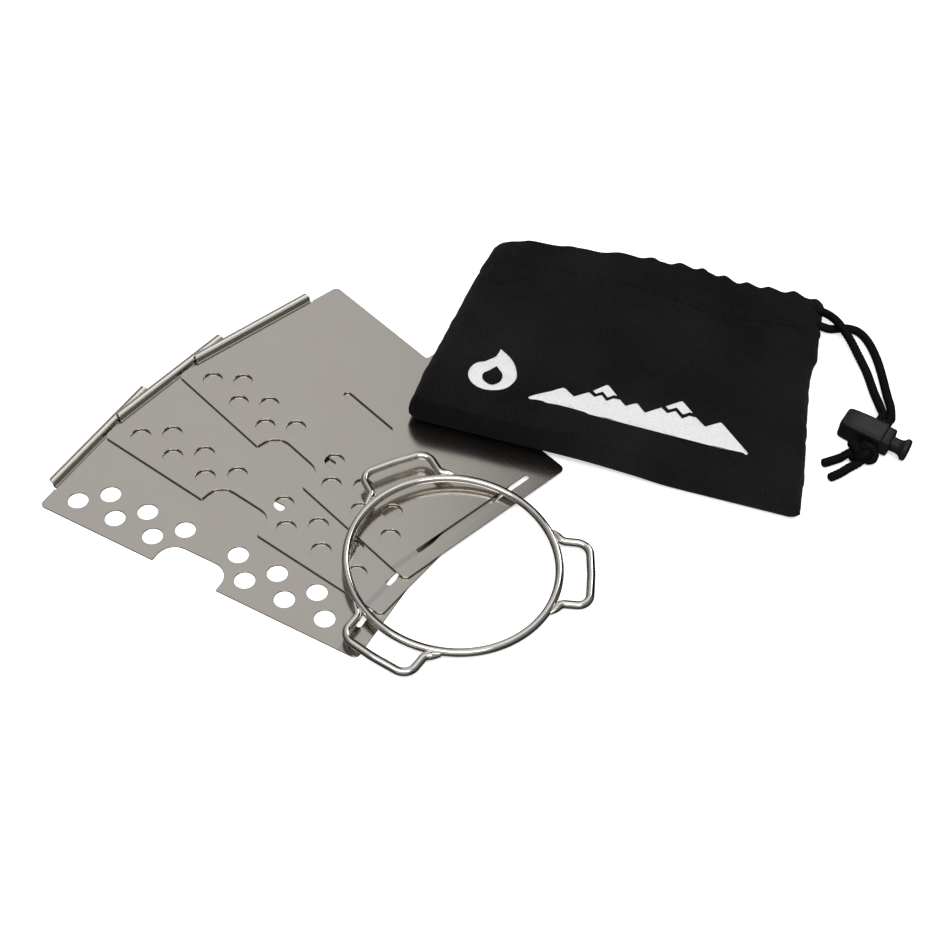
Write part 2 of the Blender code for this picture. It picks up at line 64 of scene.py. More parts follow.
# plate, measured from the inner face of its folded hem and its bottom edge
SHEET, GAP = 0.6, 0.3
LEFT, RIGHT, HIGH, MIDDLE = 0.6, 134.8, 81.0, 63.9
CORNER = 2.2
TAB_WIDE, TAB_HIGH = 14.7, 8.0
ARCH_HALF, ARCH_HIGH, ARCH_ROUND = 13.4, 10.0, 6.7
HOLE, PITCH = 7.5, 16.5
LOW_ROW, HIGH_ROW = (11.2, 8.9), (19.5, 17.3)
SLIT_LONG, SLIT_WIDE, SLIT_V = 27.5, 3.2, 43.6
SLOT_U, SLOT_WIDE, SLOT_LOW, SLOT_TOP = 128.2, 2.1, 11.6, 67.8
HEM_LOW, HEM_TOP, HEM_HIGH, HEM_ROUND = 9.7, 67.0, 3.05, 0.7
BEND_U, BEND_ROUND, WEB_HIGH = 1.2, 0.8, 0.9
LIP_ROUND, LEAN, LIP_CURL = 0.4, 71.0, 9.0
# body, place of the hem's lower end, turn in degrees and height of the underside
PLATES = (
    ("plate_front", -157.5, -32.6, -24.5, 0.0),
    ("plate_middle", -141.7, 3.1, -32.8, SHEET + GAP),
    ("plate_rear", -119.9, 37.9, -43.1, 2 * (SHEET + GAP)),
)

# ring
WIRE, HOOP = 3.0, 38.2
EAR_WIDE, EAR_REACH, EAR_TURN, EAR_FOOT = 27.4, 11.2, 4.9, 3.8
EAR_BOW, EAR_BOW_ROUND, KNEE_ROUND = 0.6, 30.0, 2.8
RING_AT, RING_HIGH = (-5.1, -45.8), 4.05
RING_DOWN, RING_TILT, EAR_AT = -43.1, 3.4, 1.0

# sack: corners of its plan, then how far its sides stand out from straight lines, as (t, mm)
BAG = ((-24.2, 22.3), (121.0, -10.6), (141.2, 111.0), (0.6, 130.6))
LEFT_BULGE = ((0, 0.1, 0.25, 0.45, 0.73, 0.9, 1), (0.2, 4.1, 4.4, 3.7, 3.2, 1.8, 0.2))
RIGHT_BULGE = (
    (0, 0.1, 0.2, 0.3, 0.42, 0.55, 0.64, 0.69, 0.73, 0.84, 0.93, 1),
    (0.5, 0.9, 1.1, 0.6, -0.2, -0.9, -1.3, -0.9, 0.6, 0.2, 0.4, 0.4),
)
# along the mouth from left to right: how high its upper edge stands, and how far it reaches out
MOUTH_TOP = (
    (0, 0.05, 0.1, 0.19, 0.35, 0.45, 0.56, 0.66, 0.74, 0.83, 0.92, 1),
    (5.8, 7.7, 8.8, 9.8, 9.9, 9.6, 9.0, 8.0, 7.0, 6.4, 6.0, 4.8),
)
MOUTH_OUT = (
    (0, 0.1, 0.2, 0.33, 0.45, 0.57, 0.68, 0.75, 0.83, 0.9, 1),
    (0, 0.5, 0.7, 1.8, 1.7, 1.4, 0.7, -0.3, 0.2, 0.9, 0.3),
)
# depth of the casing along the mouth, where its cord lies as a share of that, and the pitch of its puckers
CASING = ((0, 0.3, 0.4, 0.5, 0.65, 0.72, 0.85, 1), (16.0, 16.5, 17.0, 19.0, 21.5, 21.5, 19.5, 18.0))
CORD_LINE, PUCKER_PITCH = 0.6, 5.2
# height of the front at its left and right, its roundness, and the length over which the sack slopes down
FRONT_HIGH, FRONT_ROUND, SLOPE_LONG = (14.6, 12.4), 1.15, 28.0
# the folded-in hem: its share of the casing, its distance from the outer cloth, and the room inside it
HEM_REACH, POCKET_NEAR, POCKET_DEEP = 0.97, 0.75, 3.6
CLOTH, PRINT_THICK, THREAD, STITCHES = 0.45, 0.06, 0.4, 46

# drawcord: TABLE is the height of a cord on the table, BESIDE half the distance between the two in the lock
CORD = 3.2
TABLE = CORD / 2 + 0.1
BESIDE = 1.68
CARRIERS, LAY, BRAID_STEP = 6, 0.62, 0.22
KNOT_BACK = -10.5
KNOT_LONG, KNOT_WIDE, KNOT_HIGH = 1.72, 1.16, 1.9

# lock, along its own axis from the point where the cords pass through
LOCK_AT, LOCK_TURN, LOCK_UP = (154.2, 33.9), -29.0, 4.6
LOCK_BACK, LOCK_FRONT, LOCK_WIDE, LOCK_TALL = -13.6, 7.0, 11.2, 9.0
BORE_BACK, BORE_RADIUS = -11.8, 3.3
CORD_SLOT_HALF, CORD_SLOT_ROUND = 1.9, 1.2
SPRING_BACK, SPRING_LONG, SPRING_RADIUS, SPRING_WIRE, SPRING_TURNS = -11.2, 5.4, 2.2, 0.56, 5


hoop_low, hoop_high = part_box("ring_hoop")
hoop_middle = (hoop_low + hoop_high) / 2
ORIGIN = Vector((hoop_middle.x - RING_AT[0] * MM, hoop_middle.y - RING_AT[1] * MM, 0))


def at(x, y, z=0.0):
    """A layout point, as metres in the row frame."""
    return ORIGIN + Vector((x, y, z)) * MM


# ---- helpers
def link(name, data, body=None):
    obj = bpy.data.objects.new(name, data)
    bpy.context.scene.collection.objects.link(obj)
    if body:
        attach(obj, body)
    return obj


def mesh_of(name, verts, faces, smooth_angle=40):
    mesh = bpy.data.meshes.new(name)
    mesh.from_pydata([tuple(v) for v in verts], [], [tuple(f) for f in faces])
    bm = bmesh.new()
    bm.from_mesh(mesh)
    bmesh.ops.recalc_face_normals(bm, faces=bm.faces)
    bm.to_mesh(mesh)
    bm.free()
    mesh.shade_smooth()
    if smooth_angle:
        mesh.set_sharp_from_angle(angle=math.radians(smooth_angle))
    return mesh


def finished(obj):
    """Applies the object's modifiers to its mesh."""
    evaluated = obj.evaluated_get(bpy.context.evaluated_depsgraph_get())
    mesh = bpy.data.meshes.new_from_object(evaluated)
    obj.modifiers.clear()
    obj.data = mesh


def thicken(obj, thickness, offset, even=False):
    shell = obj.modifiers.new("thickness", "SOLIDIFY")
    shell.thickness, shell.offset = thickness * MM, offset
    shell.use_even_offset = even


def bevel(obj, width, segments, angle, clamp):
    """Rounds the edges that are sharper than angle degrees."""
    edge = obj.modifiers.new("edges", "BEVEL")
    edge.width, edge.segments = width * MM, segments
    edge.limit_method, edge.angle_limit = "ANGLE", math.radians(angle)
    edge.use_clamp_overlap = clamp


def surface(obj, look):
    """Gives the object this material alone."""
    obj.data.materials.clear()
    obj.data.materials.append(look)


def arc(cx, cy, radius, start, end, steps):
    angles = [math.radians(start + (end - start) * i / steps) for i in range(steps + 1)]
    return [(cx + radius * math.cos(a), cy + radius * math.sin(a)) for a in angles]


def rounded(corners, steps=6):
    """A closed outline from (u, v, radius) corners, each turned into an arc."""
    out = []
    for i, (x, y, r) in enumerate(corners):
        if r <= 0:
            out.append((x, y))
            continue
        here = Vector((x, y))
        back = (Vector(corners[i - 1][:2]) - here).normalized()
        on = (Vector(corners[(i + 1) % len(corners)][:2]) - here).normalized()
        half = back.angle(on) / 2
        centre = here + (back + on).normalized() * (r / math.sin(half))
        reach = r / math.tan(half)
        a = here + back * reach - centre
        b = here + on * reach - centre
        start = math.atan2(a.y, a.x)
        sweep = (math.atan2(b.y, b.x) - start + math.pi) % math.tau - math.pi
        for k in range(steps + 1):
            turn = start + sweep * k / steps
            out.append((centre.x + r * math.cos(turn), centre.y + r * math.sin(turn)))
    return out


def within(p, loop):
    hit = False
    for (ax, ay), (bx, by) in zip(loop, loop[1:] + loop[:1]):
        if (ay > p[1]) != (by > p[1]) and p[0] < (bx - ax) * (p[1] - ay) / (by - ay) + ax:
            hit = not hit
    return hit


def in_shape(p, loops):
    """Whether a point lies in the first loop and in none of the others, which are holes."""
    return within(p, loops[0]) and not any(within(p, hole) for hole in loops[1:])


def filled(loops, spots=()):
    """Points and triangles that fill an outline apart from its holes, with spots as further corners."""
    points, edges = [], []
    for loop in loops:
        first, n = len(points), len(loop)
        points += [Vector(p) for p in loop]
        edges += [(first + i, first + (i + 1) % n) for i in range(n)]
    points += [Vector(p) for p in spots]
    flat, _, triangles, _, _, _ = delaunay_2d_cdt(points, edges, [], 0, 1e-6)
    faces = []
    for triangle in triangles:
        centre = sum((flat[i] for i in triangle), Vector((0, 0))) / 3
        if in_shape(centre, loops):
            faces.append(tuple(triangle))
    return flat, faces


def tube_faces(rows, around, closed=False, first=0):
    """Faces that join rows of points, each row a ring, capped at both ends unless the tube is closed."""
    faces = []
    for j in range(rows if closed else rows - 1):
        for k in range(around):
            m, n = (k + 1) % around, (j + 1) % rows
            faces.append((j * around + k, j * around + m, n * around + m, n * around + k))
    if not closed:
        faces += [tuple(range(around)), tuple(range((rows - 1) * around, rows * around))]
    return [tuple(first + i for i in face) for face in faces]


def smooth(points, count):
    """Catmull-Rom curve through the points, evenly stepped."""
    pts = [Vector(p) for p in points]
    pts = [pts[0] * 2 - pts[1]] + pts + [pts[-1] * 2 - pts[-2]]
    fine = []
    for i in range(1, len(pts) - 2):
        a, b, c, d = pts[i - 1 : i + 3]
        for k in range(16):
            t = k / 16
            straight = 2 * b + (c - a) * t
            bend = (2 * a - 5 * b + 4 * c - d) * t * t + (3 * b - a - 3 * c + d) * t**3
            fine.append((straight + bend) / 2)
    fine.append(pts[-2])
    line = np.array(fine)
    run = np.concatenate([[0], np.cumsum(np.linalg.norm(np.diff(line, axis=0), axis=1))])
    wanted = np.linspace(0, run[-1], count)
    return [Vector(p) for p in np.stack([np.interp(wanted, run, line[:, k]) for k in range(3)], axis=1)]


def run_along(path):
    """The length of the path up to each of its points."""
    run = [0.0]
    for a, b in zip(path, path[1:]):
        run.append(run[-1] + (b - a).length)
    return run


def ease(x):
    """Smooth step from 0 to 1, flat outside."""
    x = min(1.0, max(0.0, x))
    return x * x * (3 - 2 * x)


def frames_along(path):
    """Parallel-transported (point, side, up) at each point of a path."""
    out, up = [], Vector((0, 0, 1))
    for i, p in enumerate(path):
        ahead = (path[min(i + 1, len(path) - 1)] - path[max(i - 1, 0)]).normalized()
        side = ahead.cross(up)
        side = side.normalized() if side.length > 1e-4 else Vector((1, 0, 0))
        up = side.cross(ahead).normalized()
        out.append((p, side, up))
    return out


# ---- materials
def material(name, color, **values):
    made = bpy.data.materials.new(name)
    made.use_nodes = True
    shader = made.node_tree.nodes["Principled BSDF"]
    shader.inputs["Base Color"].default_value = (*color, 1)
    for key, value in values.items():
        shader.inputs[key.replace("_", " ")].default_value = value
    return made, made.node_tree, shader


def drive(shader, color, rough=None):
    """Links the shader's colour, and its roughness where given."""
    links = shader.id_data.links
    links.new(color, shader.inputs["Base Color"])
    if rough:
        links.new(rough, shader.inputs["Roughness"])


def add(tree, kind, values=None, **settings):
    """A node with its settings, and its inputs set to numbers or linked to sockets."""
    node = tree.nodes.new(kind)
    for key, value in settings.items():
        setattr(node, key, value)
    for key, value in (values or {}).items():
        if isinstance(value, bpy.types.NodeSocket):
            tree.links.new(value, node.inputs[key])
        else:
            node.inputs[key].default_value = value
    return node


def ramp(tree, source, stops):
    """A colour ramp from (position, colour) stops."""
    node = add(tree, "ShaderNodeValToRGB", {"Fac": source})
    element = node.color_ramp.elements
    element[0].position, element[0].color = stops[0][0], (*stops[0][1], 1)
    element[1].position, element[1].color = stops[-1][0], (*stops[-1][1], 1)
    for place, color in stops[1:-1]:
        element.new(place).color = (*color, 1)
    return node.outputs["Color"]


def scaled_coordinates(tree, scale, turn=0.0, tip=0.0):
    """Object coordinates, scaled, then tipped about x and y by tip radians and turned by turn degrees."""
    where = add(tree, "ShaderNodeTexCoord").outputs["Object"]
    rotation = (tip, tip, math.radians(turn))
    node = add(tree, "ShaderNodeMapping", {"Vector": where, "Scale": scale, "Rotation": rotation})
    return node.outputs["Vector"]


def noise_of(tree, scale, size, detail=3.0, turn=0.0):
    where = scaled_coordinates(tree, scale, turn)
    return add(tree, "ShaderNodeTexNoise", {"Vector": where, "Scale": size, "Detail": detail}).outputs["Fac"]


def even_noise(tree, scale, detail):
    """Noise of the same scale in all directions."""
    return noise_of(tree, (scale, scale, scale), 1.0, detail)


def span(tree, source, low, high, from_low=0.0, from_high=1.0):
    """The source, with its own range from from_low to from_high spread over low to high."""
    values = {"Value": source, "From Min": from_low, "From Max": from_high, "To Min": low, "To Max": high}
    return add(tree, "ShaderNodeMapRange", values).outputs["Result"]


def math_of(tree, operation, a, b):
    return add(tree, "ShaderNodeMath", {0: a, 1: b}, operation=operation).outputs["Value"]


def weighted(tree, *terms):
    """The sum of (source, weight) terms."""
    parts = [math_of(tree, "MULTIPLY", source, weight) for source, weight in terms]
    total = parts[0]
    for part in parts[1:]:
        total = math_of(tree, "ADD", total, part)
    return total


def bump(tree, shader, height, strength, distance):
    node = add(tree, "ShaderNodeBump", {"Height": height, "Strength": strength, "Distance": distance})
    tree.links.new(node.outputs["Normal"], shader.inputs["Normal"])


def between(tree, value, low, high, soft):
    """1 where value lies between low and high, fading over soft."""
    rise = span(tree, value, 0, 1, low - soft, low + soft)
    fall = span(tree, value, 1, 0, high - soft, high + soft)
    return math_of(tree, "MULTIPLY", rise, fall)


def sheet_steel():
    """Rolled stainless sheet: fine grain along its length, faint smears and hairline scratches.

    In line with the slot, between its lower end and the edge, a flat bluish-grey strip is painted on the
    sheet.
    """
    made, tree, shader = material("sheet_steel", (0.56, 0.53, 0.485), Metallic=1.0, Roughness=0.25)
    grain = noise_of(tree, (60, 1400, 400), 3.0)
    smear = noise_of(tree, (14, 22, 22), 1.6, 4.0)
    scratch = noise_of(tree, (90, 3200, 900), 1.0, 1.0, 34)
    scratch = span(tree, scratch, 0, 1, 0.76, 0.86)
    where = add(tree, "ShaderNodeSeparateXYZ", {"Vector": add(tree, "ShaderNodeTexCoord").outputs["Object"]})
    half = SLOT_WIDE / 2 * MM
    across = between(tree, where.outputs["X"], SLOT_U * MM - half, SLOT_U * MM + half, 0.0002)
    along = between(tree, where.outputs["Y"], -0.001, (SLOT_LOW + 0.4) * MM, 0.0003)
    # bluish-grey strip painted in line with the slot, from the edge up to the slot's lower end; only the
    # colour changes
    slot_strip = math_of(tree, "MULTIPLY", across, along)
    color = ramp(tree, smear, ((0.3, (0.55, 0.517, 0.471)), (0.7, (0.572, 0.543, 0.499))))
    colors = {"Factor": slot_strip, 6: color, 7: (0.45, 0.463, 0.453, 1)}
    mixed = add(tree, "ShaderNodeMix", colors, data_type="RGBA")
    smeared = span(tree, smear, 0.15, 0.19, 0.3, 0.7)
    grained = span(tree, grain, -0.015, 0.035)
    drive(shader, mixed.outputs[2], weighted(tree, (smeared, 1), (grained, 1), (scratch, 0.01)))
    bump(tree, shader, weighted(tree, (grain, 1), (scratch, -0.05)), 0.022, 0.00003)
    return made


def wire_steel():
    """Polished stainless wire, unevenly bright, with faint pits."""
    made, tree, shader = material("wire_steel", (0.66, 0.635, 0.6), Metallic=1.0, Roughness=0.12)
    cloud = noise_of(tree, (60, 60, 60), 2.0, 3.0)
    pits = even_noise(tree, 900, 2.0)
    color = ramp(tree, cloud, ((0.3, (0.68, 0.645, 0.6)), (0.7, (0.74, 0.715, 0.685))))
    drive(shader, color, span(tree, cloud, 0.06, 0.12, 0.3, 0.7))
    bump(tree, shader, pits, 0.08, 0.00003)
    return made


def weld_steel():
    """Spot welds: duller, a little straw-coloured and uneven."""
    made, tree, shader = material("weld_steel", (0.6, 0.55, 0.48), Metallic=1.0, Roughness=0.28)
    cloud = even_noise(tree, 500, 3.0)
    color = ramp(tree, cloud, ((0.3, (0.5, 0.43, 0.36)), (0.7, (0.68, 0.65, 0.6))))
    drive(shader, color, span(tree, cloud, 0.2, 0.4))
    bump(tree, shader, cloud, 0.3, 0.0001)
    return made


def thread_waves(tree, direction, scale, turn, detail):
    """Bands of thread across the x or y of the cloth; they show on upright faces too."""
    where = scaled_coordinates(tree, (1000, 1000, 1000), turn, tip=0.55)
    values = {"Vector": where, "Scale": scale, "Distortion": 0.8, **detail}
    return add(tree, "ShaderNodeTexWave", values, bands_direction=direction).outputs["Fac"]


def twill(name, dark, light, turn, pitch=0.72):
    """Woven cotton twill: diagonal ribs crossed by threads, with lint and worn places.

    Turn is the direction of the cloth in degrees, pitch the distance between ribs in millimetres.
    """
    finish = {"Sheen_Weight": 0.015, "Sheen_Roughness": 0.5, "Specular_IOR_Level": 0.07}
    made, tree, shader = material(name, light, Roughness=0.9, **finish)
    waves_per_mm = 0.314 / pitch
    ribs = thread_waves(tree, "X", waves_per_mm, turn + 24, {"Detail": 1.0, "Detail Scale": 1.5})
    threads = thread_waves(tree, "Y", waves_per_mm * 1.5, turn, {})
    weave = weighted(tree, (ribs, 0.6), (threads, 0.4))
    lint = even_noise(tree, 1500, 4.0)
    worn = even_noise(tree, 24, 4.0)
    shade = weighted(tree, (weave, 0.45), (lint, 0.45), (worn, 0.6))
    drive(shader, ramp(tree, shade, ((0.48, dark), (1.0, light))), span(tree, weave, 0.9, 0.75))
    bump(tree, shader, weighted(tree, (weave, 1), (lint, 0.3)), 0.55, 0.00022)
    return made


def print_ink():
    """Screen-printed ink with a fine uneven grain from the cloth below."""
    made, tree, shader = material("print_ink", (0.8, 0.8, 0.8), Roughness=0.6)
    lint = even_noise(tree, 900, 3.0)
    color = ramp(tree, lint, ((0.3, (0.66, 0.66, 0.675)), (0.7, (0.76, 0.76, 0.775))))
    drive(shader, color)
    bump(tree, shader, lint, 0.25, 0.0001)
    return made


def cord_fibre():
    """Yarns of the braided cord, fine and dull."""
    dark = (0.008, 0.008, 0.007)
    made, tree, shader = material("cord_fibre", dark, Roughness=0.65, Specular_IOR_Level=0.07)
    yarn = even_noise(tree, 1500, 3.0)
    color = ramp(tree, yarn, ((0.35, (0.0015, 0.0015, 0.0015)), (0.75, (0.007, 0.0062, 0.005))))
    drive(shader, color)
    bump(tree, shader, yarn, 0.4, 0.0001)
    return made


def moulded_plastic():
    """Black moulded plastic with a fine grain and places worn shiny."""
    dark = (0.006, 0.006, 0.006)
    made, tree, shader = material("moulded_plastic", dark, Roughness=0.42, Specular_IOR_Level=0.24)
    grain = even_noise(tree, 1100, 2.0)
    shine = even_noise(tree, 120, 3.0)
    color = ramp(tree, shine, ((0.3, (0.004, 0.004, 0.0045)), (0.7, (0.009, 0.009, 0.0095))))
    drive(shader, color, span(tree, shine, 0.34, 0.52, 0.3, 0.7))
    bump(tree, shader, grain, 0.15, 0.00005)
    return made


def floor_paint():
    """White paint that gives off a little light, so that the floor reads as plain."""
    glow = {"Emission_Color": (1, 1, 1, 1), "Emission_Strength": 0.55}
    made, tree, shader = material("floor_white", (0.9, 0.9, 0.9), Roughness=0.9, **glow)
    mottle = noise_of(tree, (3, 3, 3), 2.0)
    color = ramp(tree, mottle, ((0, (0.89, 0.89, 0.89)), (1, (0.91, 0.91, 0.91))))
    drive(shader, color)
    return made


SACK_TURN = math.degrees(math.atan2(BAG[1][1] - BAG[0][1], BAG[1][0] - BAG[0][0]))
SHEET_STEEL = sheet_steel()
WIRE_STEEL = wire_steel()
WELD_STEEL = weld_steel()
CLOTH_BLACK = twill("cloth_black", (0.0006, 0.0005, 0.0006), (0.0125, 0.0113, 0.0118), SACK_TURN)
THREAD_BLACK = twill("thread_black", (0.002, 0.002, 0.002), (0.009, 0.009, 0.009), SACK_TURN, 0.3)
PRINT_INK = print_ink()
CORD_FIBRE = cord_fibre()
PLASTIC = moulded_plastic()


# ---- plates
def plate_outline():
    tab, relief = TAB_WIDE / 2, 0.8
    left, right = MIDDLE - ARCH_HALF, MIDDLE + ARCH_HALF
    arch = [(left, 0, 0.5), (left, ARCH_HIGH, ARCH_ROUND), (right, ARCH_HIGH, ARCH_ROUND), (right, 0, 0.5)]
    top_tab = [
        (MIDDLE + tab, HIGH, 1.0),
        (MIDDLE + tab, HIGH + TAB_HIGH, 2.0),
        (MIDDLE - tab, HIGH + TAB_HIGH, 2.0),
        (MIDDLE - tab, HIGH, 1.0),
    ]
    hem_side = [
        (LEFT, HEM_TOP + relief, 0),
        (BEND_U, HEM_TOP + relief, 0),
        (BEND_U, HEM_TOP, 0),
        (BEND_U, HEM_LOW, 0),
        (BEND_U, HEM_LOW - relief, 0),
        (LEFT, HEM_LOW - relief, 0),
    ]
    right_side = [(RIGHT, 0, CORNER), (RIGHT, HIGH, CORNER)]
    return rounded([(LEFT, 0, CORNER)] + arch + right_side + top_tab + [(LEFT, HIGH, CORNER)] + hem_side)


def plate_holes():
    holes = []
    for first, v in (LOW_ROW, HIGH_ROW):
        for k in range(3):
            for u in (first + k * PITCH, 2 * MIDDLE - first - k * PITCH):
                holes.append(arc(u, v, HOLE / 2, 0, 360, 48)[:-1])
    r = SLOT_WIDE / 2
    holes.append(arc(SLOT_U, SLOT_TOP - r, r, 0, 180, 14) + arc(SLOT_U, SLOT_LOW + r, r, 180, 360, 14))
    half, r = (SLIT_LONG - SLIT_WIDE) / 2, SLIT_WIDE / 2
    holes.append(arc(MIDDLE + half, SLIT_V, r, -90, 90, 14) + arc(MIDDLE - half, SLIT_V, r, 90, 270, 14))
    return holes


def hem_line():
    """Mid-line of the folded hem as (u, height): a tight bend, a short web, then a lip that leans outward."""
    line = [(BEND_U, 0.0)]
    line += [(x, z + BEND_ROUND) for x, z in arc(BEND_U - 0.7, 0, BEND_ROUND, -90, -180, 8)]
    u, web = line[-1][0], line[-1][1] + WEB_HIGH
    line.append((u, web))
    line += arc(u - LIP_ROUND, web, LIP_ROUND, 0, LEAN, 6)[1:]
    u, h = line[-1]
    steps = 8
    step = (HEM_HIGH - SHEET / 2 - h) / math.cos(math.radians(LEAN)) / steps
    for k in range(1, steps + 1):
        lean = math.radians(LEAN + LIP_CURL * math.sin(math.pi * (k / steps - 0.5)))
        u, h = u - step * math.sin(lean), h + step * math.cos(lean)
        line.append((u, h))
    return line


def plate_mesh():
    """The middle surface of the sheet, which a Solidify modifier thickens."""
    flat, faces = filled([plate_outline()] + plate_holes())
    verts = [Vector((p.x, p.y, 0)) for p in flat]

    def corner(v):
        return min(range(len(flat)), key=lambda i: (flat[i] - Vector((BEND_U, v))).length)

    low, high = corner(HEM_LOW), corner(HEM_TOP)
    line = hem_line()
    top = line[-1][1]
    for u, h in line[1:]:
        over = max(0.0, h - (top - HEM_ROUND))
        inset = HEM_ROUND - math.sqrt(max(0.0, HEM_ROUND**2 - over**2))
        verts += [Vector((u, HEM_LOW + inset, h)), Vector((u, HEM_TOP - inset, h))]
        faces.append((low, high, len(verts) - 1, len(verts) - 2))
        low, high = len(verts) - 2, len(verts) - 1
    mesh = mesh_of("plate_sheet", [v * MM for v in verts], faces, None)
    if mesh.polygons[0].normal.z < 0:
        mesh.flip_normals()
    return mesh


def make_plates():
    sheet = plate_mesh()
    for name, x, y, turn, z in PLATES:
        plate = link(name + "_sheet", sheet.copy())
        plate.location = at(x, y, z + SHEET / 2)
        plate.rotation_euler.z = math.radians(turn)
        thicken(plate, SHEET, 0, even=True)
        bevel(plate, 0.09, 2, 55, clamp=False)
        level = plate.modifiers.new("flat_shading", "WEIGHTED_NORMAL")
        level.mode, level.weight, level.keep_sharp = "FACE_AREA", 50, False
        finished(plate)
        surface(plate, SHEET_STEEL)
        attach(plate, name)
        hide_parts(name)


# ---- ring
def ring_matrix():
    lean = Matrix.Rotation(math.radians(RING_DOWN), 4, "Z")
    tilt = Matrix.Rotation(math.radians(RING_TILT), 4, "Y")
    return Matrix.Translation(at(*RING_AT, RING_HIGH)) @ lean @ tilt @ lean.inverted()


def points_round(where, radius, around):
    """A ring of points round (point, side, up)."""
    p, side, up = where
    turns = [math.tau * k / around for k in range(around)]
    return [p + side * (radius * math.cos(a)) + up * (radius * math.sin(a)) for a in turns]


def tube_mesh(name, path, radii, around=28, closed=False):
    """A round tube along points in millimetres, with a radius for each point."""
    verts = []
    for where, radius in zip(frames_along(path), radii):
        verts += [p * MM for p in points_round(where, radius, around)]
    return mesh_of(name, verts, tube_faces(len(path), around, closed), 50)


def capped(path, radius, end=0.8):
    """Radii along a path that round off its two ends over a length of end."""
    run, out = run_along(path), []
    for here in run:
        near = min(here, run[-1] - here) / end
        out.append(radius * math.sqrt(max(0.04, 1 - max(0.0, 1 - near) ** 2)))
    return out


def foot_thin(along):
    """Share of the wire's thickness left in a welded foot, from along 0 at its tip to 1 at its knee."""
    return 0.35 + 0.65 * min(1.0, max(0.0, along)) ** 0.8


def ear_path():
    """Centre line of one ear, and the points of its first foot, which sinks into the hoop."""
    half, out = EAR_WIDE / 2, HOOP + EAR_REACH
    turn = math.asin((half + 1.6) / (HOOP + WIRE))
    foot, steps = [], 6
    for k in range(steps + 1):
        angle = turn + EAR_FOOT / HOOP * (1 - k / steps)
        far = HOOP + 0.5 + (WIRE / 2 + 0.55) * foot_thin(k / steps)
        foot.append((far * math.cos(angle), far * math.sin(angle)))
    knee = (foot[-1][0] + 1.3, half + 0.1, KNEE_ROUND)
    corner = (out - EAR_BOW * 2 / 3, half, EAR_TURN)
    side = [(*foot[-1], 0), knee, corner]
    middle = (out + EAR_BOW / 3, 0, EAR_BOW_ROUND)
    loop = rounded(side + [middle] + [(x, -y, r) for x, y, r in reversed(side)], steps=12)
    path = foot[:-1] + loop + [(x, -y) for x, y in reversed(foot[:-1])]
    return smooth([(x, y, 0) for x, y in path], 150), foot


def ear_radii(path):
    """The wire's feet are pressed thin where they are welded."""
    run = run_along(path)
    return [WIRE / 2 * foot_thin(min(here, run[-1] - here) / EAR_FOOT) for here in run]


def weld_bead(where, along):
    """An uneven bead of weld metal between hoop and foot."""
    deep, long, thick = 0.95, 2.1, 0.8
    bm = bmesh.new()
    bmesh.ops.create_icosphere(bm, subdivisions=4, radius=1)
    for v in bm.verts:
        lump = 1 + 0.16 * noise.noise(v.co * 1.7 + Vector((where[0], where[1], 3)))
        v.co = Vector((v.co.x * deep, v.co.y * long, v.co.z * thick)) * lump
    bmesh.ops.transform(bm, matrix=Matrix.Rotation(along, 4, "Z"), verts=bm.verts)
    bmesh.ops.translate(bm, vec=where, verts=bm.verts)
    bmesh.ops.scale(bm, vec=(MM, MM, MM), verts=bm.verts)
    mesh = bpy.data.meshes.new("weld")
    bm.to_mesh(mesh)
    bm.free()
    mesh.shade_smooth()
    return mesh


def make_ring():
    place, steps = ring_matrix(), 240

    def ring_piece(name, mesh, look, node=None):
        mesh.materials.append(look)
        piece = link(name, mesh)
        piece.matrix_world = place
        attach(piece, "ring")
        if node:
            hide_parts(node)

    circle = [Vector((x, y, 0)) for x, y in arc(0, 0, HOOP, 0, 360, steps)[:-1]]
    hoop = tube_mesh("hoop", circle, [WIRE / 2] * steps, closed=True)
    ring_piece("ring_hoop_wire", hoop, WIRE_STEEL, "ring_hoop")
    path, foot = ear_path()
    for i in range(3):
        spin = Matrix.Rotation(math.radians(EAR_AT + 120 * i), 3, "Z")
        ear = [spin @ p for p in path]
        mesh = tube_mesh("ear", ear, ear_radii(ear))
        ring_piece(f"ring_ear_{i + 1}_wire", mesh, WIRE_STEEL, f"ring_ear_{i + 1}")
        foot_x, foot_y = foot[4]
        inward = 1 - WIRE * 0.42 / HOOP
        for side, sign in (("a", 1), ("b", -1)):
            spot = spin @ Vector((foot_x * inward, foot_y * inward * sign, 0.25))
            bead = weld_bead(spot, math.atan2(spot.y, spot.x))
            ring_piece(f"ring_weld_{i + 1}{side}", bead, WELD_STEEL)


# ---- sack
FRONT_LEFT, FRONT_RIGHT, MOUTH_RIGHT, MOUTH_LEFT = [Vector(p) for p in BAG]
DEEP = (MOUTH_LEFT - FRONT_LEFT).length
WIDE = (FRONT_RIGHT - FRONT_LEFT).length
RIGHTWARD = (FRONT_RIGHT - FRONT_LEFT).normalized()
UPWARD = (MOUTH_LEFT - FRONT_LEFT).normalized()


def along_list(x, table):
    return float(np.interp(x, *table))


def seam_at(s):
    """The t at which the casing's seam crosses s."""
    return 1 - along_list(s, CASING) / DEEP


def plan(s, t):
    """Point of the sack's plan; s runs along the front, t from front to mouth."""
    p = FRONT_LEFT.lerp(FRONT_RIGHT, s).lerp(MOUTH_LEFT.lerp(MOUTH_RIGHT, s), t)
    left_ripple = 0.35 * noise.noise(Vector((t * 17, 5.0, 0)))
    right_ripple = 0.35 * noise.noise(Vector((t * 26, 9.0, 0)))
    left = (along_list(t, LEFT_BULGE) + left_ripple) * (1 - s) ** 2
    right = (along_list(t, RIGHT_BULGE) + right_ripple) * s**2
    return p + RIGHTWARD * (right - left) + UPWARD * along_list(s, MOUTH_OUT) * ease(t)


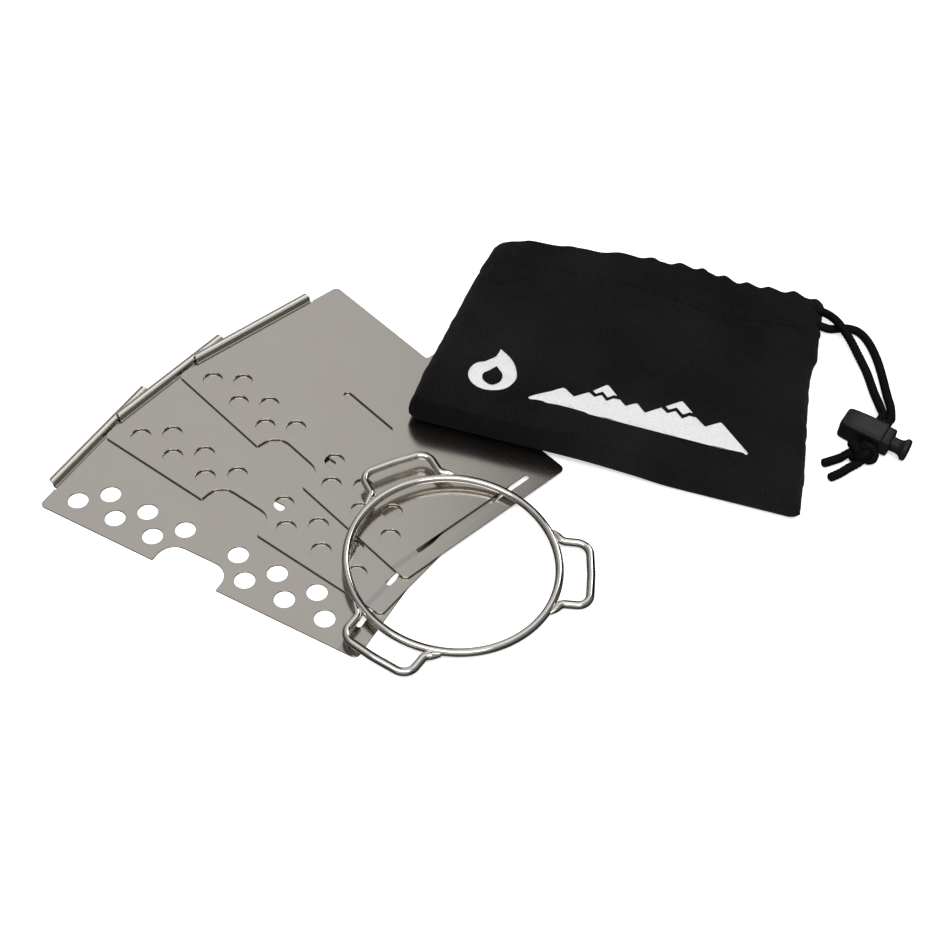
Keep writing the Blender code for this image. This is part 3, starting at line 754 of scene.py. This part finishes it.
def support(p):
    """Height of what lies under the sack: the plates at its left, the table at its right."""
    _, x, y, turn, z = PLATES[2]
    c, s = math.cos(math.radians(turn)), math.sin(math.radians(turn))
    u = (p.x - x) * c + (p.y - y) * s
    v = -(p.x - x) * s + (p.y - y) * c
    over = max(u - RIGHT, v - HIGH - TAB_HIGH, 0.0)
    drop = ease((over - 2.0) / SLOPE_LONG)
    return (z + SHEET + GAP) * (1 - drop) + 0.1 * drop


def gathers(s):
    """Height of the pleats along the mouth, from about -1 to 1; they crowd towards the right."""
    cycles = 7.0 * s + 4.3 * s * s + 0.25 * math.sin(9.0 * s + 0.4)
    lively = 0.45 + 0.55 * ease(s * 1.4)
    wave = 0.8 * math.sin(math.tau * cycles + 0.9) + 0.12 * math.cos(2 * math.tau * cycles)
    return lively * wave + 0.4 * noise.noise(Vector((8 * s, 3.3, 0)))


def rumple(p):
    """Soft creases over the cloth, in millimetres."""
    wide = noise.noise(Vector((p.x / 46, p.y / 34, 1.5))) * 1.1
    fold = noise.noise(Vector((p.x / 15 + p.y / 38, p.y / 34 - p.x / 90, 7.5))) * 0.6
    crease_wide, crease_deep = 0.12, 0.45
    from_crease = abs(noise.noise(Vector((p.x / 24 - p.y / 60, p.y / 18, 2.2))))
    crease = crease_deep * max(0.0, 1 - from_crease / crease_wide)
    fine = noise.noise(Vector((p.x / 6, p.y / 7, 4.5))) * 0.12
    return wide + fold - crease + fine


def bell(distance, spread):
    """1 at no distance, falling to nothing past about twice the spread."""
    return math.exp(-((distance / spread) ** 2))


def casing_relief(s, from_seam, full):
    """Height that the casing's seam and the cord inside add to the calm cloth."""
    cord_line = CORD_LINE * (1 - seam_at(s)) * DEEP
    groove = 0.5 * bell(from_seam, 1.0)
    pucker = 0.2 * math.sin(math.tau * s * WIDE / PUCKER_PITCH) * bell(from_seam, 3.0)
    return (pucker - groove + 0.35 * bell(from_seam - cord_line, 4.0)) * full


def sack_point(s, t, side, inner=0.0, calm=False):
    """Point of the cloth: side is 1 for the upper panel and -1 for the lower, inner for the folded-in hem.

    A calm point leaves out the pleats, for the cord that runs inside them.
    """
    p = plan(s, t)
    ground, seam = support(p), seam_at(s)
    from_seam = (t - seam) * DEEP
    from_side = min(s, 1 - s) * WIDE
    front_high = FRONT_HIGH[0] + (FRONT_HIGH[1] - FRONT_HIGH[0]) * s
    nose = front_high * 0.5
    turn = min(math.pi / 2, t * DEEP / nose / FRONT_ROUND)

    # full is 1 away from the side seams, and middle the height of those seams
    mouth_high = along_list(s, MOUTH_TOP) - ground
    high = front_high + (mouth_high - front_high) * ease(t) + math.sin(math.pi * t)
    sides = min(1.0, from_side / (5.0 + 4.0 * ease(t * 2.5)))
    full = (1 - (1 - sides) ** 2.3) ** 0.6
    at_side = ease((1.0 - from_side) / 6.0 + 1.0) * (1 - 0.6 * (1 - ease(t * 6)))
    middle = high * (0.5 - 0.24 * at_side)

    pleat = ease((t - seam + 0.06) / (1 - seam + 0.06)) ** 1.1
    fade = math.exp(-max(0.0, -from_seam) / 12.0) * ease((from_side - 4) / 10)
    z = ground + middle
    if side > 0:
        z += (high - middle) * math.sin(turn) ** 0.6 * full
        if not calm:
            wave = gathers(s + 0.012 * (1 - t) / (1 - seam)) * min(1.0, from_side / 6.0)
            z += rumple(p) * 1.1 * min(1.0, t * 12) * full + casing_relief(s, from_seam, full)
            z += 0.75 * wave * pleat + 0.45 * wave * fade * (1 - pleat)
        z -= inner * full
        tuck = 0.5 * (1 - math.cos(turn)) ** 2.2
    else:
        z -= (middle - 0.25) * math.sin(turn) ** 0.5 * full
        if not calm:
            z += 0.3 * pleat * (1 + gathers(s + 0.04)) * full
        z += inner * full * 0.55
        tuck = 0.2 * (1 - math.cos(turn))

    # the cloth that goes round the front takes up some of its depth
    quarter = FRONT_ROUND * math.pi / 2
    back = nose * tuck + max(0.0, t * DEEP - nose * quarter)
    reach = DEEP - nose * (quarter - 1)
    p = p + UPWARD * (back * DEEP / reach - t * DEEP) * (1 - ease((t - 0.5) * 2))
    if not calm:
        p = p + UPWARD * 0.4 * gathers(s + (0 if side > 0 else 0.03)) * ease((t - 0.88) / 0.12)
    return Vector((p.x, p.y, z))


def closer_at_ends(count):
    """Steps from 0 to 1, a little closer together at both ends."""
    return [0.6 * k / count + 0.4 * (0.5 - 0.5 * math.cos(math.pi * k / count)) for k in range(count + 1)]


def sack_mesh():
    """One cloth: two panels joined at front and sides, open at the mouth, with its hem folded inside."""
    columns, rows, hem_rows = closer_at_ends(200), closer_at_ends(130), 22
    around = [(s, 1) for s in columns] + [(s, -1) for s in reversed(columns[1:-1])]
    verts, faces = [], []

    def ring(t_of, inner):
        first = len(verts)
        verts.extend(sack_point(s, t_of(s), side, inner) for s, side in around)
        return first

    loops = [ring(lambda s, t=t: t, 0.0) for t in rows]
    for k in range(1, hem_rows + 1):
        back = k / hem_rows
        pocket = POCKET_NEAR + POCKET_DEEP * math.sin(math.pi * min(1, back * 1.02)) ** 0.8
        loops.append(ring(lambda s, b=back: 1 - b * (1 - seam_at(s)) * HEM_REACH, pocket))
    n = len(around)
    for a, b in zip(loops, loops[1:]):
        for k in range(n):
            m = (k + 1) % n
            faces.append((a + k, a + m, b + m, b + k))
    for k in range(len(columns) - 1):
        front = (k, k + 1, (n - k - 1) % n, (n - k) % n)
        faces.append(tuple(dict.fromkeys(front)))
    return mesh_of("sack", [at(*v) for v in verts], faces, None)


def make_sack():
    sack = link("sack_cloth", sack_mesh(), "sack")
    bm = bmesh.new()
    bm.from_mesh(sack.data)
    bmesh.ops.remove_doubles(bm, verts=bm.verts, dist=0.02 * MM)
    bmesh.ops.recalc_face_normals(bm, faces=bm.faces)
    bm.to_mesh(sack.data)
    bm.free()
    thicken(sack, CLOTH, -1)
    finished(sack)
    surface(sack, CLOTH_BLACK)
    sack.data.shade_smooth()
    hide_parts("sack_body", "sack_casing")
    return sack


def surface_tree(obj):
    bm = bmesh.new()
    bm.from_mesh(obj.data)
    tree = BVHTree.FromBMesh(bm)
    bm.free()
    return tree


def on_top(tree, x, y, lift):
    """The highest point of a surface under a layout point, raised by lift millimetres."""
    hit, normal, _, _ = tree.ray_cast(at(x, y, 60), Vector((0, 0, -1)))
    if hit is None:
        return None
    return hit + (normal if normal.z > 0 else -normal) * lift * MM


def make_stitches(tree):
    """Thread of the seam that closes the casing."""
    verts, faces = [], []
    around, rows, margin = 6, 5, 0.012
    pitch = (1 - 2 * margin) / STITCHES
    for i in range(STITCHES):
        path = []
        for k in range(rows):
            s = margin + pitch * (i + 0.5 + 0.66 * (k / (rows - 1) - 0.5))
            p = sack_point(s, seam_at(s), 1)
            path.append(on_top(tree, p.x, p.y, 0.12 - 0.28 * (k / 2 - 1) ** 2))
        if None in path:
            continue
        faces += tube_faces(rows, around, first=len(verts))
        for where in frames_along(path):
            verts += points_round(where, THREAD / 2 * MM, around)
    stitches = link("sack_stitches", mesh_of("stitches", verts, faces), "sack")
    surface(stitches, THREAD_BLACK)


# generic printed sign: a plain flame, then a range of plain peaks
PRINT_AT, PRINT_TURN = (-8.0, 31.5), -10.9
RIDGE_AT = (25.0, 0.5)


def spline_loop(corners, tip):
    """Smooth closed outline through the corners, sharp at the corner numbered tip."""
    order = corners[tip:] + corners[: tip + 1]
    return [(p.x, p.y) for p in smooth([(x, y, 0) for x, y in order], 60)][:-1]


def flame_outline():
    """A plain flame with one inner tongue left open."""
    outer = [(10, 0), (4.0, 1.8), (0.8, 6.6), (1.6, 12.2), (5.6, 16.2), (8.6, 20.0), (9.4, 25.4),
             (14.6, 20.8), (18.0, 15.0), (19.2, 8.8), (16.4, 2.6)]
    inner = [(10.4, 3.0), (7.2, 5.0), (6.4, 8.4), (8.6, 11.4), (10.2, 14.8), (13.4, 10.8), (14.0, 6.8),
             (12.8, 4.2)]
    return [spline_loop(outer, 6), spline_loop(inner, 4)]


def ridge_shapes():
    """A plain range of peaks, with the tops of the two highest set apart by a zigzag gap."""
    ridge = [
        (0, 0, 0.7), (13.0, 11.5, 0.9), (17.5, 7.6, 0.5), (22.6, 12.6, 0.3), (25.2, 10.6, 0.4),
        (27.6, 12.8, 0.4), (30.0, 10.0, 0.4), (32.4, 12.4, 0.4), (34.9, 12.6, 0.3), (37.6, 9.8, 0.5),
        (41.5, 13.0, 0.8), (45.4, 8.8, 0.5), (51.0, 13.9, 0.3), (53.8, 11.8, 0.4), (56.6, 14.2, 0.4),
        (59.6, 11.2, 0.4), (62.2, 13.6, 0.4), (64.8, 13.9, 0.3), (68.8, 9.8, 0.5), (74.5, 14.6, 0.9),
        (87.5, 0, 0.7),
    ]
    caps = [
        [(23.9, 13.9, 0.2), (25.3, 12.7, 0.2), (27.7, 14.8, 0.3), (30.1, 12.1, 0.3), (32.3, 14.3, 0.2),
         (33.7, 13.9, 0.2), (28.8, 19.2, 0.8)],
        [(52.5, 15.2, 0.2), (53.9, 14.0, 0.2), (56.7, 16.3, 0.3), (59.6, 13.4, 0.3), (62.1, 15.7, 0.2),
         (63.4, 15.4, 0.2), (58.2, 20.8, 0.8)],
    ]
    x, y = RIDGE_AT
    return [[[(u + x, v + y) for u, v in rounded(shape, 4)]] for shape in [ridge] + caps]


def spots_in(loops, step=1.1):
    """A grid of points inside a printed shape, so that its ink can follow the cloth."""
    low_x, high_x = min(x for x, _ in loops[0]), max(x for x, _ in loops[0])
    high_y = max(y for _, y in loops[0])
    columns, rows = int((high_x - low_x) / step) + 1, int(high_y / step) + 1
    grid = [(low_x + i * step, j * step) for i in range(columns) for j in range(rows)]
    return [spot for spot in grid if in_shape(spot, loops)]


def make_print(tree):
    turn = Matrix.Rotation(math.radians(PRINT_TURN), 2)
    verts, faces = [], []
    for loops in [flame_outline()] + ridge_shapes():
        flat, triangles = filled(loops, spots_in(loops))
        faces += [tuple(len(verts) + i for i in triangle) for triangle in triangles]
        for p in flat:
            q = turn @ p
            verts.append(on_top(tree, PRINT_AT[0] + q.x, PRINT_AT[1] + q.y, 0.05))
    sign = link("sack_print", mesh_of("print", verts, faces, None), "sack")
    thicken(sign, PRINT_THICK, 0)
    finished(sign)
    surface(sign, PRINT_INK)


# ---- drawcord
def at_lock(x, y, z=0.0):
    turn = math.radians(LOCK_TURN)
    along = Vector((math.cos(turn), math.sin(turn)))
    through = Vector((-math.sin(turn), math.cos(turn)))
    p = Vector(LOCK_AT) + along * x + through * y
    return (p.x, p.y, LOCK_UP + z)


def braided(name, path, ends=0.9, around=32, thick=1.12):
    """A cord along a path in millimetres, braided from strands that pass over and under each other.

    It is squeezed a little where it goes through the lock, and never lies below the table.
    """
    count = int(run_along(path)[-1] / BRAID_STEP)
    lock_middle = Vector(at_lock(0, 0))
    lowest = CORD / 2 * thick * 1.05
    path = [Vector((p.x, p.y, max(p.z, lowest))) for p in smooth(path, count)]
    radii = capped(path, CORD / 2 * thick, ends)
    verts = []
    for (p, side, up), run, r in zip(frames_along(path), run_along(path), radii):
        r *= 1 - 0.07 * (1 - ease(((p - lock_middle).length - 14) / 6))
        for k in range(around):
            a = math.tau * k / around
            one = math.cos(CARRIERS * a + run * math.tau * LAY)
            two = math.cos(CARRIERS * a - run * math.tau * LAY)
            raised = 0.16 * max(one, two) + 0.04 * one * two
            out = r * (0.93 + 0.5 * raised * (r / (CORD / 2)))
            verts.append(at(*(p + side * (out * math.cos(a)) + up * (out * math.sin(a)))))
    cord = link(name, mesh_of(name, verts, tube_faces(len(path), around), 60), "sack")
    surface(cord, CORD_FIBRE)
    return cord, [at(*p) for p in path]


def knot_path(steps=240):
    """A trefoil, flattened and tight, behind the lock."""
    path = []
    for k in range(steps + 1):
        a = math.tau * k / steps
        x = (math.sin(a) + 2 * math.sin(2 * a)) * KNOT_LONG
        y = (math.cos(a) - 2 * math.cos(2 * a)) * KNOT_WIDE
        z = -math.sin(3 * a) * KNOT_HIGH
        path.append(Vector(at_lock(x - 0.9, y + KNOT_BACK - 0.3, z - 0.5)))
    return path


def make_drawcord():
    """Two runs that leave the casing, cross, pass through the lock into one knot, and end as two tails."""
    inner_route = [
        (134.5, 106.0, 3.4), (138.6, 105.6, 3.4), (141.6, 104.4, 3.6), (144.4, 100.2, 4.7),
        (146.7, 95.4, 5.2), (150.0, 88.6, 4.3), (153.0, 81.8, 2.5), (155.5, 73.4, TABLE),
        (157.2, 62.4, TABLE), (158.5, 53.6, 2.6),
        at_lock(-BESIDE, 12.6, -0.05), at_lock(-BESIDE, 11.2), at_lock(-BESIDE, 9.0),
        at_lock(-BESIDE, 5.0), at_lock(-BESIDE, -5.6),
        at_lock(-2.6, KNOT_BACK + 0.6, -0.6), at_lock(-5.2, KNOT_BACK - 2.8, -1.6),
        (139.6, 22.7, TABLE), (136.2, 20.9, TABLE), (132.8, 19.2, TABLE),
    ]
    outer_route = [
        (134.0, 98.6, 3.0), (138.4, 97.4, 2.7), (142.3, 96.5, 2.2), (146.2, 97.4, TABLE),
        (151.0, 97.9, TABLE), (155.3, 95.9, TABLE), (158.7, 89.6, TABLE), (161.0, 79.4, TABLE),
        (162.1, 67.9, TABLE), (162.6, 58.0, 2.3), (162.7, 51.6, 3.4),
        at_lock(BESIDE, 12.8, -0.05), at_lock(BESIDE, 11.2), at_lock(BESIDE, 9.0),
        at_lock(BESIDE, 5.0), at_lock(BESIDE, -5.6),
        at_lock(1.4, KNOT_BACK + 0.4, -0.8), at_lock(0.4, KNOT_BACK - 4.0, -1.8),
        at_lock(-1.8, KNOT_BACK - 8.0, TABLE - LOCK_UP),
        (139.4, 15.0, TABLE), (134.8, 11.9, TABLE),
    ]
    knot, _ = braided("drawcord_knot_tied", knot_path(), ends=0.1, thick=1.27)
    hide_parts("drawcord_knot")
    for name, route, nodes, along in (
        ("drawcord_inner_run", inner_route, ("drawcord_strand_inner", "drawcord_tail_long"), [knot]),
        ("drawcord_outer_run", outer_route, ("drawcord_strand_outer", "drawcord_tail_short"), []),
    ):
        cord, path = braided(name, [Vector(p) for p in route])
        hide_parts(*nodes)


def make_hidden_cord():
    """The cord inside the casing: along the upper hem, round the left side seam and back along the lower."""

    def spot(s, side):
        seam = seam_at(s)
        return sack_point(s, seam + 0.55 * (1 - seam), side, 3.0, calm=True)

    steps, long = 50, 0.88
    there = [spot(0.95 - long * k / steps, 1) for k in range(steps + 1)]
    back = [spot(0.07 + long * k / steps, -1) for k in range(steps + 1)]
    cord, _ = braided("drawcord_hidden_run", there + back, around=20, thick=0.9)
    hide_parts("drawcord_in_casing")


# ---- lock
def section_loft(name, stations, power, around=64):
    """Block along x through (x, width, height) stations; a smaller power makes its sections squarer."""
    verts = []
    for x, wide, tall in stations:
        for k in range(around):
            a = math.tau * (k + 0.5) / around
            y = math.copysign(abs(math.cos(a)) ** power, math.cos(a)) * wide / 2
            z = math.copysign(abs(math.sin(a)) ** power, math.sin(a)) * tall / 2
            verts.append(Vector((x, y, z)) * MM)
    return mesh_of(name, verts, tube_faces(len(stations), around), 40)


def cut(target, mesh):
    """Takes a mesh, placed like the target, away from the target."""
    cutter = bpy.data.objects.new("cutter", mesh)
    cutter.matrix_world = target.matrix_world
    bpy.context.scene.collection.objects.link(cutter)
    modifier = target.modifiers.new("cut", "BOOLEAN")
    modifier.operation, modifier.solver, modifier.object = "DIFFERENCE", "EXACT", cutter
    bpy.context.view_layer.update()
    finished(target)
    bpy.data.objects.remove(cutter)


def slot_cutter(x0, x1, half_y):
    """The slot that both cords pass through, from x0 to x1 and right across the lock."""
    half, r = CORD_SLOT_HALF, CORD_SLOT_ROUND
    outline = rounded([(x0, -half, r), (x1, -half, r), (x1, half, r), (x0, half, r)], 8)
    verts = [Vector((x, y, z)) * MM for y in (-half_y, half_y) for x, z in outline]
    return mesh_of("slot", verts, tube_faces(2, len(outline)))


def lock_body(place):
    long = LOCK_FRONT - LOCK_BACK
    # distance from the back, then how much narrower and lower than the full block
    insets = (
        (0.0, 2.6, 2.4), (0.2, 1.7, 1.5), (0.7, 0.95, 0.8), (1.8, 0.5, 0.4), (4.0, 0.2, 0.1), (7.0, 0.0, 0.0),
        (long - 4.2, 0.0, 0.0), (long - 3.6, 0.15, 0.1), (long - 3.3, 0.6, 0.5), (long - 3.1, 1.3, 1.1),
        (long - 0.6, 1.4, 1.2), (long - 0.15, 1.8, 1.6), (long, 2.6, 2.4),
    )
    stations = [(LOCK_BACK + x, LOCK_WIDE - wide, LOCK_TALL - tall) for x, wide, tall in insets]
    body = link("lock_body_shell", section_loft("lock_body", stations, 0.3))
    body.matrix_world = place
    bore_line = [Vector((x, 0, 0)) for x in (BORE_BACK, LOCK_FRONT + 2)]
    cut(body, tube_mesh("bore", bore_line, [BORE_RADIUS] * 2, 48))
    cut(body, slot_cutter(-3.5, 3.5, 9.0))
    bevel(body, 0.22, 3, 38, clamp=True)
    finished(body)
    return body


def lock_button(place):
    """The plunger: a stem in the bore, then a thumb pad. Its slot is long enough for its travel."""
    front = LOCK_FRONT
    profile = [
        (-5.2, 2.5), (-4.9, 2.95), (front + 1.0, 2.95), (front + 2.0, 2.9), (front + 3.0, 2.95),
        (front + 3.8, 3.15), (front + 4.5, 3.6), (front + 4.9, 4.15), (front + 5.1, 4.35),
        (front + 5.5, 4.42), (front + 6.3, 4.4), (front + 6.75, 4.2), (front + 6.95, 3.8), (front + 7.0, 3.2),
    ]
    path = [Vector((x, 0, 0)) for x, _ in profile]
    button = link("lock_button_shell", tube_mesh("plunger", path, [r for _, r in profile], 56))
    button.matrix_world = place
    cut(button, slot_cutter(-3.5, 7.0, 6.0))
    bevel(button, 0.15, 3, 38, clamp=True)
    finished(button)
    return button


def lock_spring(place):
    coil, steps = [], 240
    for k in range(steps + 1):
        a = math.tau * SPRING_TURNS * k / steps
        x = SPRING_BACK + SPRING_LONG * k / steps
        coil.append(Vector((x, SPRING_RADIUS * math.cos(a), SPRING_RADIUS * math.sin(a))))
    radii = [SPRING_WIRE / 2] * len(coil)
    spring = link("lock_spring_wire", tube_mesh("spring", coil, radii, 12))
    spring.matrix_world = place
    return spring


def make_lock():
    place = Matrix.Translation(at(*LOCK_AT, LOCK_UP)) @ Matrix.Rotation(math.radians(LOCK_TURN), 4, "Z")
    body, button, spring = lock_body(place), lock_button(place), lock_spring(place)
    for piece, body_name, node, look, slot in (
        (body, "lock", "lock_body", PLASTIC, "black_plastic"),
        (button, "lock_button", "lock_plunger", PLASTIC, "black_plastic"),
        (spring, "lock", "lock_spring", WIRE_STEEL, "spring_steel"),
    ):
        surface(piece, look)
        piece.data.shade_smooth()
        piece.data.set_sharp_from_angle(angle=math.radians(45))
        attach(piece, body_name)
        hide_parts(node)
    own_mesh(spring)


# ---- camera, floor and lights
def make_camera():
    tip = math.radians(ELEVATION)
    camera = bpy.data.objects.new("camera", bpy.data.cameras.new("camera"))
    camera.data.lens, camera.data.sensor_width = LENS, 36
    camera.data.clip_start = 0.01
    camera.location = at(0, -DISTANCE * math.cos(tip), DISTANCE * math.sin(tip))
    camera.rotation_mode = "QUATERNION"
    turn = Matrix.Rotation(math.pi / 2 - tip, 4, "X") @ Matrix.Rotation(math.radians(ROLL), 4, "Z")
    camera.rotation_quaternion = turn.to_quaternion()
    bpy.context.scene.collection.objects.link(camera)
    bpy.context.scene.camera = camera


def make_floor():
    size = 3.0
    corners = [(-size, -size, 0), (size, -size, 0), (size, size, 0), (-size, size, 0)]
    floor = link("floor", mesh_of("floor", corners, [(0, 1, 2, 3)], None))
    floor.data.materials.append(floor_paint())
    floor.visible_glossy = False


def softbox(name, place, size, watts, aim=(0, 0, 0)):
    """A rectangular light of this size in metres, turned towards aim."""
    light = bpy.data.lights.new(name, "AREA")
    light.shape, light.size, light.size_y = "RECTANGLE", *size
    light.energy = watts
    lamp = bpy.data.objects.new(name, light)
    lamp.location = place
    lamp.rotation_mode = "QUATERNION"
    lamp.rotation_quaternion = (Vector(aim) - Vector(place)).to_track_quat("-Z", "Y")
    bpy.context.scene.collection.objects.link(lamp)
    return lamp


def make_sky():
    """The studio around: pale above, dark below, darker to both sides and darkest behind at the right."""
    world = bpy.data.worlds.new("studio")
    bpy.context.scene.world = world
    world.use_nodes = True
    tree = world.node_tree
    up = add(tree, "ShaderNodeSeparateXYZ", {"Vector": add(tree, "ShaderNodeTexCoord").outputs["Generated"]})
    stops = (
        (0.0, (0.07, 0.068, 0.066)), (0.42, (0.10, 0.098, 0.095)), (0.52, (0.26, 0.258, 0.255)),
        (0.64, (0.46, 0.458, 0.453)), (0.76, (0.68, 0.68, 0.675)), (0.9, (0.68, 0.68, 0.68)),
        (1.0, (0.6, 0.6, 0.6)),
    )
    shade = ramp(tree, span(tree, up.outputs["Z"], 0, 1, -1, 1), stops)
    aside = span(tree, math_of(tree, "ABSOLUTE", up.outputs["X"], 0), 1.0, 0.32, 0.38, 0.72)
    rightward = span(tree, up.outputs["X"], 0.0, 0.94, -0.015, 0.08)
    behind = span(tree, up.outputs["Y"], 0.0, 1.0, 0.2, 0.5)
    away = math_of(tree, "SUBTRACT", 1.0, math_of(tree, "MULTIPLY", rightward, behind))
    dim = math_of(tree, "MULTIPLY", aside, away)
    shaded = add(tree, "ShaderNodeVectorMath", {0: shade, 1: dim}, operation="MULTIPLY").outputs["Vector"]
    tree.links.new(shaded, tree.nodes["Background"].inputs["Color"])


def make_lights():
    """Soft lights overhead, in front, and behind at the right; the steel doesn't mirror overhead_fill."""
    fill = softbox("overhead_fill", (0.0, -0.15, 1.25), (1.0, 0.8), 5.2)
    fill.visible_glossy = False
    softbox("overhead", (0.0, -0.05, 1.26), (1.0, 0.6), 0.8)
    softbox("front_strip", (0.0, -0.56, 1.1), (1.2, 0.34), 5.6)
    softbox("far_right", (0.5, 0.68, 0.79), (0.26, 0.4), 1.6, (0, -0.06, 0))
    softbox("upper_right", (0.28, 0.57, 1.2), (0.42, 0.36), 0.62, (-0.1, 0.04, 0))
    bpy.context.scene.view_settings.view_transform = "Standard"


make_camera()
make_floor()
make_sky()
make_lights()
make_plates()
make_ring()
sack = make_sack()
sack_surface = surface_tree(sack)
make_stitches(sack_surface)
make_print(sack_surface)
make_drawcord()
make_hidden_cord()
make_lock()
